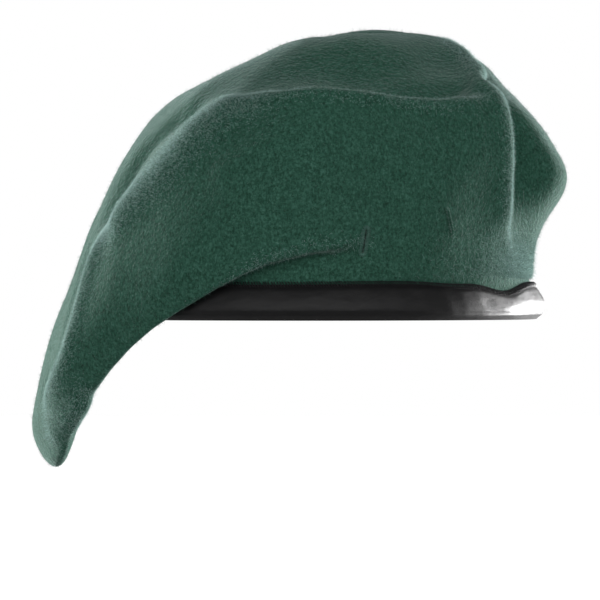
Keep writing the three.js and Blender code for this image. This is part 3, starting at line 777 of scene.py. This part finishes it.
def build_fibres(name, grid, count, longest, preference, material, seed):
    """Short loose fibres that stand out of the felt, each a thin closed spike."""
    rng = np.random.default_rng(seed)
    body = grid[:, ROWS_IN_BAND:-1]
    a, b = body[:, :-1], np.roll(body, -1, 0)[:, :-1]
    c, d = np.roll(body, -1, 0)[:, 1:], body[:, 1:]
    normal = np.cross(c - a, d - b).reshape(-1, 3)
    area = np.linalg.norm(normal, axis=1)
    normal /= np.maximum(area, 1e-9)[:, None]
    chance = area * preference(a.reshape(-1, 3))
    chosen = rng.choice(len(area), count, p=chance / chance.sum())
    s_, t_ = rng.random((2, count, 1))
    corners = [corner.reshape(-1, 3)[chosen] for corner in (a, b, c, d)]
    root = (corners[0] * (1 - s_) + corners[1] * s_) * (1 - t_)
    root += (corners[3] * (1 - s_) + corners[2] * s_) * t_
    out = normal[chosen]
    drift = rng.normal(size=(count, 3)) + (0, 0, -0.7)
    drift -= (drift * out).sum(1, keepdims=True) * out
    way = out * rng.uniform(0.25, 0.8, (count, 1)) + 0.55 * drift
    way /= np.linalg.norm(way, axis=1, keepdims=True)
    length = rng.uniform(0.37, 1, (count, 1)) * longest
    side = np.cross(way, out)
    side /= np.maximum(np.linalg.norm(side, axis=1, keepdims=True), 1e-6)
    lift = np.cross(side, way)
    width = rng.uniform(*FIBRE_HALF_WIDTHS, (count, 1))
    root = root - FIBRE_ROOT_DEPTH * out
    points = np.stack([root + width * side, root - width * side, root + width * lift,
                       root + way * length], axis=1)
    first = 4 * np.arange(count)[:, None]
    faces = np.concatenate([first + (0, 1, 2), first + (0, 3, 1), first + (1, 3, 2),
                            first + (2, 3, 0)])
    fibres = make_piece(name, points, faces.tolist(), material, "felt")
    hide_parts("wool_crown")


def anywhere(points):
    """No preference."""
    return 1.0


def along_highlit_folds(points):
    """The crests of the raised folds, where paler fibres paint a highlight."""
    total = np.zeros(len(points))
    for place, half_width, share in HIGHLIT_FOLDS:
        away = distance_to_line(points, FOLDS[place][2])[0]
        total += share * np.exp(-((away - away.min()) / half_width) ** 2)
    return total


def highlit_patch(points):
    """The wool over the left temple just above the binding: pulled-up nap, its paler fibres a painted
    highlight.
    """
    azimuth = np.degrees(np.arctan2(points[:, 1], points[:, 0]))
    near = np.exp(-((azimuth - HIGHLIT_PATCH_AZIMUTH) / HIGHLIT_PATCH_HALF_ANGLE) ** 2)
    return near * np.exp(-((points[:, 2] - HIGHLIT_PATCH_HEIGHT) / HIGHLIT_PATCH_HALF_HEIGHT) ** 2)


# ---------- the leather binding

def bumps(azimuths, places):
    """A sum of bell-shaped bumps round the opening."""
    total = np.zeros_like(azimuths)
    for centre, half_width, height in places:
        away = (azimuths - centre + 180) % 360 - 180
        total += height * np.exp(-(away / half_width) ** 2)
    return total


def binding_top(azimuths):
    return BINDING_TOP - bumps(azimuths, BINDING_SAGS)


def ellipse_point(angle, out, up):
    """A point of the family of ellipses round the opening."""
    x = (HALF_WIDTH + out) * np.cos(angle)
    y = (HALF_DEPTH + out) * np.sin(angle)
    return np.stack([x, y, np.broadcast_to(up, x.shape)], axis=-1)


def wrinkles(azimuths, level):
    """Small upright puckers of the leather. level is 0 to 1 up the outer face."""
    a = np.radians(azimuths)
    fine = np.sin(61 * a + 1.3 * np.sin(7 * a) + 2.5 * level) * (0.5 + 0.5 * np.sin(5 * a + 1))
    broad = np.sin(23 * a + 2 * np.sin(3 * a) - 2 * level)
    slanted = np.sin(38 * a + 5 * level + 0.7)
    slanted *= np.exp(-((azimuths - SLANTED_AZIMUTH) / SLANTED_HALF_ANGLE) ** 2)
    depth = FINE_PUCKER * fine + BROAD_PUCKER * broad + SLANTED_PUCKER * slanted
    return depth * np.sin(math.pi * level)


def build_binding():
    """The folded strip as one closed ring: outer face, rolled bottom, inner face and channel."""
    azimuths = -180 + 360 * np.arange(BINDING_COLUMNS) / BINDING_COLUMNS
    angle = np.radians(azimuths)
    top = binding_top(azimuths)
    puff = PUFF + bumps(azimuths, BINDING_PUFFS)
    rounded = bumps(azimuths, BINDING_ROUNDINGS)
    creased = CREASE_DEPTH - bumps(azimuths, BINDING_FLAT_PLACES)
    lines = []

    def add(out, up):
        lines.append(ellipse_point(angle, out + 0 * angle, up + 0 * angle))

    add(0.35, top - 0.1)
    add(0.75, top + 0.1)
    for level in np.linspace(0.97, 0.06, 22):
        height = FACE_FOOT + (top - FACE_FOOT) * level
        swell = puff * (1 - abs(2 * level ** 0.5 - 1) ** 2.1)
        tuck = 0.5 * smooth_step(level, 0.82, 1.0)
        crease = creased * np.exp(-((height - CREASE_HEIGHT) / CREASE_HALF_HEIGHT) ** 2)
        under = rounded * (1 - smooth_step(level, 0, 0.75)) ** 2
        add(BINDING_FACE + swell - tuck - crease - under + wrinkles(azimuths, level), height)
    for turn in np.linspace(0.25, 1, 5) * math.pi / 2:
        add(0.55 + ROLL_RADIUS * math.cos(turn) - rounded,
            ROLL_RADIUS - ROLL_RADIUS * math.sin(turn))
    add(-1.5, 0.1 + 0.06 * np.sin(31 * angle))
    add(-3.3, 0.05)
    for turn in np.linspace(0.2, 1, 4) * math.pi / 2:
        add(-3.7 - 0.8 * math.sin(turn), 0.8 - 0.8 * math.cos(turn))
    for level in np.linspace(0.2, 1, 8):
        ripple = 0.1 * np.sin(47 * angle + 3 * level) * math.sin(math.pi * level)
        add(BINDING_INNER_FACE + ripple, BINDING_INNER_TOP * level)
    add(BINDING_INNER_FACE + 0.5, BINDING_INNER_TOP + 0.15)
    add(BINDING_INNER_FACE + LEATHER, BINDING_INNER_TOP)
    add(BINDING_INNER_FACE + LEATHER, 1.0)
    add(0.35, 1.0)
    grid = np.stack(lines, axis=1)
    faces = grid_quads(BINDING_COLUMNS, len(lines), closed_rows=True, flip=True)
    binding = make_piece("leather_band", leaning(grid), faces, LEATHER_LOOK, "leather")
    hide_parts("leather_binding")


# ---------- threads

def tubes(paths, radius, sides=6):
    """Points and faces of closed round tubes along a stack of short paths."""
    paths = np.asarray(paths, float)
    count, steps = paths.shape[:2]
    ways = np.gradient(paths, axis=1)
    ways /= np.linalg.norm(ways, axis=2, keepdims=True)
    chord = paths[:, -1] - paths[:, 0]
    bend = np.cross(chord, paths[:, steps // 2] - paths[:, 0])
    bend /= np.maximum(np.linalg.norm(bend, axis=1, keepdims=True), 1e-9)
    first = np.cross(ways, bend[:, None])
    first /= np.linalg.norm(first, axis=2, keepdims=True)
    second = np.cross(ways, first)
    taper = np.full(steps, 1.0)
    taper[[0, -1]] = 0.55
    turns = 2 * math.pi * np.arange(sides) / sides
    rings = paths[:, :, None] + radius * taper[None, :, None, None] * (
        first[:, :, None] * np.cos(turns)[:, None] + second[:, :, None] * np.sin(turns)[:, None])
    points = np.concatenate([rings.reshape(count, -1, 3), paths[:, :1], paths[:, -1:]], axis=1)
    faces = []
    for step in range(steps - 1):
        for side in range(sides):
            after = (side + 1) % sides
            faces.append([step * sides + side, step * sides + after,
                          (step + 1) * sides + after, (step + 1) * sides + side])
    last = (steps - 1) * sides
    for side in range(sides):
        after = (side + 1) % sides
        faces.append([after, side, steps * sides])
        faces.append([last + side, last + after, steps * sides + 1])
    per_tube = steps * sides + 2
    every = [[corner + per_tube * index for corner in face] for index in range(count)
             for face in faces]
    return points.reshape(-1, 3), every


def ring_places(pitch, out):
    """Angles evenly spaced along one of the ellipses, about pitch apart."""
    fine = np.linspace(0, 2 * math.pi, 4001)
    line = ellipse_point(fine, out, 0.0)
    length = np.concatenate([[0], np.cumsum(np.linalg.norm(np.diff(line, axis=0), axis=1))])
    count = round(length[-1] / pitch)
    return np.interp(np.arange(count) * length[-1] / count, length, fine)


def build_edge_stitches():
    """Overcast stitches: each loops from the wool over the leather's top edge."""
    rng = np.random.default_rng(SEED + 1)
    angles = ring_places(STITCH_PITCH, 1.2)
    top = binding_top(np.degrees(angles))
    # How far out of the ellipse, how far above the leather's edge, and how far along.
    shape = [(-0.2, 0.9, -1.0), (0.55, 0.95, -0.6), (1.15, 0.5, -0.15), (1.4, -0.2, 0.25),
             (1.35, -0.8, 0.65), (0.7, -1.2, 0.95)]
    jitter = rng.normal(0, 0.12, (len(angles), 1))
    paths = [ellipse_point(angles + STITCH_SLANT * (shift + jitter[:, 0]), out, top + up)
             for out, up, shift in shape]
    points, faces = tubes(leaning(np.stack(paths, axis=1)), STITCH_RADIUS)
    stitches = make_piece("edge_stitches", points, faces, BLACK_THREAD, "dark_thread")
    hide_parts("binding_edge_thread")


def build_inner_stitches():
    """A row of running stitches on the binding's inner leg."""
    angles = ring_places(INNER_STITCH_PITCH, INNER_STITCH_OUT)
    reach = INNER_STITCH_LENGTH / 2 / MEAN_RADIUS
    shape = [(-4.3, -1), (-4.85, -0.75), (-5.0, 0), (-4.85, 0.75), (-4.3, 1)]
    paths = [ellipse_point(angles + reach * shift, out, INNER_STITCH_HEIGHT)
             for out, shift in shape]
    points, faces = tubes(leaning(np.stack(paths, axis=1)), INNER_STITCH_RADIUS)
    stitches = make_piece("inner_stitches", points, faces, BLACK_THREAD, "dark_thread")
    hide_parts("binding_inner_thread")


def build_slot(number, grid, azimuth, height, lean, width, material):
    """Buttonhole stitches round one badge slot."""
    place, across, along, out = slot_frame(grid, azimuth, height, lean)
    half, radius = SLIT_LENGTH / 2, width / 2
    inner, outer_edge = [], []
    for up in np.linspace(-half, half, 15):
        for side in (-1, 1):
            inner.append((side * radius, up))
            outer_edge.append((side * (radius + SLOT_THREAD_REACH), up + 0.12 * side))
    reach = radius + SLOT_END_REACH
    for end in (-1, 1):
        for turn in np.radians([35, 65, 90, 115, 145]):
            way = (math.cos(turn), math.sin(turn) * end)
            inner.append((radius * way[0], end * half + radius * way[1] * 0.6))
            outer_edge.append((reach * way[0], end * half + reach * way[1]))
    inner, outer_edge = np.array(inner), np.array(outer_edge)

    def at(flat, lift):
        return place + flat[:, :1] * across + flat[:, 1:] * along + lift * out

    middle = (inner + outer_edge) / 2
    paths = np.stack([at(inner, -0.5), at(inner, 0.05), at(middle, 0.3), at(outer_edge, 0.1),
                      at(outer_edge, -0.4)], axis=1)
    points, faces = tubes(paths, SLOT_THREAD_RADIUS, 5)
    thread = make_piece(f"slot_stitches_{number}", points, faces, material, "green_thread")
    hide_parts(f"badge_slot_thread_{number}")


# ---------- the lining and its label

def lining_point(angle, rise, depth):
    """A point of the half ellipsoid over the head, depth inside its outer face."""
    x = (LINING_HALF_WIDTH - depth) * np.cos(rise) * np.cos(angle)
    y = (LINING_HALF_DEPTH - depth) * np.cos(rise) * np.sin(angle)
    return np.stack([x, y, LINING_BASE + (LINING_RISE - depth) * np.sin(rise)], axis=-1)


def gathers(angle, rise):
    """How far the loose cloth hangs inwards: small folds that fan out from the seam."""
    near_seam = np.exp(-((rise - LINING_SEAM_ANGLE) / 0.3) ** 2)
    folds = np.sin(58 * angle + 2 * np.sin(9 * angle)) + 0.6 * np.sin(91 * angle + 1)
    slack = np.sin(11 * angle + 4 * rise) + np.sin(7 * angle - 3 * rise + 1)
    return LINING_SLACK + near_seam * 0.35 * folds + 0.3 * slack


def build_lining_side():
    """The side panel: tucked behind the binding's inner leg, then up to the seam."""
    angle = 2 * math.pi * np.arange(LINING_COLUMNS) / LINING_COLUMNS
    tuck = [(-2.55, 5.0), (-2.55, 8.5), (-2.6, 11.8)]
    outer_lines = [ellipse_point(angle, out + 0 * angle, up) for out, up in tuck]
    inner_lines = [ellipse_point(angle, out - LINING_THICKNESS + 0 * angle, up)
                   for out, up in tuck]
    for rise in np.linspace(0.02, LINING_SEAM_ANGLE, 16):
        depth = gathers(angle, rise) * smooth_step(rise, 0, 0.15)
        outer_lines.append(lining_point(angle, rise, depth))
        inner_lines.append(lining_point(angle, rise, depth + LINING_THICKNESS))
    grid = np.stack(outer_lines + inner_lines[::-1], axis=1)
    faces = grid_quads(LINING_COLUMNS, grid.shape[1], closed_rows=True)
    side = make_piece("lining_side_panel", leaning(grid), faces, SATIN, "lining")
    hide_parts("lining_side")


def build_lining_tip():
    """The tip panel, from the seam to the middle."""
    angle = 2 * math.pi * np.arange(LINING_COLUMNS) / LINING_COLUMNS
    start = LINING_SEAM_ANGLE + 0.006
    rises = np.concatenate([np.linspace(start, 1.45, 24), [math.pi / 2]])
    faces_of = []
    for thickness in (0, LINING_THICKNESS):
        lines = []
        for rise in rises:
            fade = math.cos(rise) ** 0.5 if rise < 1.5 else 0
            depth = LINING_SLACK + (gathers(angle, rise) - LINING_SLACK) * fade + thickness
            lines.append(lining_point(angle, rise, depth))
        faces_of.append(np.stack(lines, axis=1))
    tip = make_piece("lining_tip_panel", *shell_mesh(*faces_of), SATIN, "lining")
    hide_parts("lining_tip")


def build_lining_stitches():
    """Small stitches across the lining's seam, on the side that faces the head."""
    angles = 2 * math.pi * np.arange(LINING_STITCHES) / LINING_STITCHES
    rise = LINING_SEAM_ANGLE
    depth = gathers(angles, rise) + LINING_THICKNESS
    shape = [(-0.012, 0.0), (-0.008, 0.35), (0.0, 0.45), (0.010, 0.35), (0.014, 0.0)]
    paths = [lining_point(angles + 0.5 * shift, rise + shift, depth + lift)
             for shift, lift in shape]
    points, faces = tubes(np.stack(paths, axis=1), LINING_STITCH_RADIUS, 5)
    stitches = make_piece("lining_stitches", points, faces, BLACK_THREAD, "dark_thread")
    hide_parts("lining_seam_thread")


def build_label():
    """A blank ribbon on the lining at the back."""
    columns, rows = 44, 16
    angle = math.pi / 2 + np.linspace(LABEL_HALF_ANGLE, -LABEL_HALF_ANGLE, columns)[:, None]
    up = np.linspace(LABEL_BOTTOM, LABEL_TOP, rows)[None, :]
    rise = np.arcsin((up - LINING_BASE) / LINING_RISE) + 0 * angle
    ripple = 0.12 * np.sin(9 * angle * 5 + up / 3)
    lift = LABEL_LIFT + ripple + gathers(angle + 0 * up, rise) - LINING_SLACK
    face = lining_point(angle + 0 * up, rise, lift + LABEL_THICKNESS)
    back = lining_point(angle + 0 * up, rise, lift)
    points = np.concatenate([face.reshape(-1, 3), back.reshape(-1, 3)])
    half = columns * rows
    faces = []
    for i in range(columns - 1):
        for j in range(rows - 1):
            a, b = i * rows + j, (i + 1) * rows + j
            faces.append([a, b, b + 1, a + 1])
            faces.append([half + a + 1, half + b + 1, half + b, half + a])
    edge = [i * rows for i in range(columns)]
    edge += [(columns - 1) * rows + j for j in range(1, rows)]
    edge += [i * rows + rows - 1 for i in range(columns - 2, -1, -1)]
    edge += list(range(rows - 2, 0, -1))
    for a, b in zip(edge, edge[1:] + edge[:1]):
        faces.append([b, a, half + a, half + b])
    label = make_piece("blank_label", points, faces, ribbon_material(), "label")
    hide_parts("size_label")


# ---------- the drawcord

def build_drawcord():
    """A twisted cord round the channel, with its knot at the back."""
    steps, sides = 1400, 12
    angle = 2 * math.pi * np.arange(steps)[:, None] / steps
    turn = 2 * math.pi * np.arange(sides)[None, :] / sides
    from_knot = (angle - math.pi / 2) * KNOT_REACH
    twist = CORD_STRANDS * (turn - CORD_TWISTS * angle / CORD_STRANDS)
    radius = CORD_RADIUS * (1 + 0.12 * np.cos(twist))
    radius = radius + KNOT_EXTRA * np.exp(-(from_knot / KNOT_HALF_LENGTH) ** 2)
    grid = ellipse_point(angle + 0 * turn, CORD_OUT + radius * np.cos(turn), 0.0)
    grid[..., 2] = CORD_HEIGHT + radius * np.sin(turn)
    faces = grid_quads(steps, sides, closed_rows=True)
    cord = make_piece("twisted_drawcord", grid, faces, BLACK_THREAD, "cord")
    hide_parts("drawcord")


crown = crown_surface()
build_crown(crown)
build_fibres("felt_nap", crown, NAP_FIBRES, NAP_LENGTH, anywhere, NAP, SEED)
# The patch over the left temple, with paler fibres as a painted highlight.
build_fibres("felt_pulled_nap_highlight", crown, PULLED_HIGHLIGHT_FIBRES, PULLED_HIGHLIGHT_LENGTH, highlit_patch, PATCH_HIGHLIGHT_NAP,
             SEED + 2)
# Pale fibres along the fold crests, a painted highlight.
build_fibres("felt_crest_highlight_nap", crown, CREST_HIGHLIGHT_FIBRES, CREST_HIGHLIGHT_LENGTH, along_highlit_folds, CREST_HIGHLIGHT_NAP,
             SEED + 3)
build_binding()
build_edge_stitches()
build_inner_stitches()
for number, slot in enumerate(SLOTS, 1):
    build_slot(number, crown, *slot, GREEN_THREAD if number == 1 else FELT)
build_lining_side()
build_lining_tip()
build_lining_stitches()
build_label()
build_drawcord()

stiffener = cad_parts["badge_stiffener"]
stiffener.data.materials.clear()
stiffener.data.materials.append(board_material())
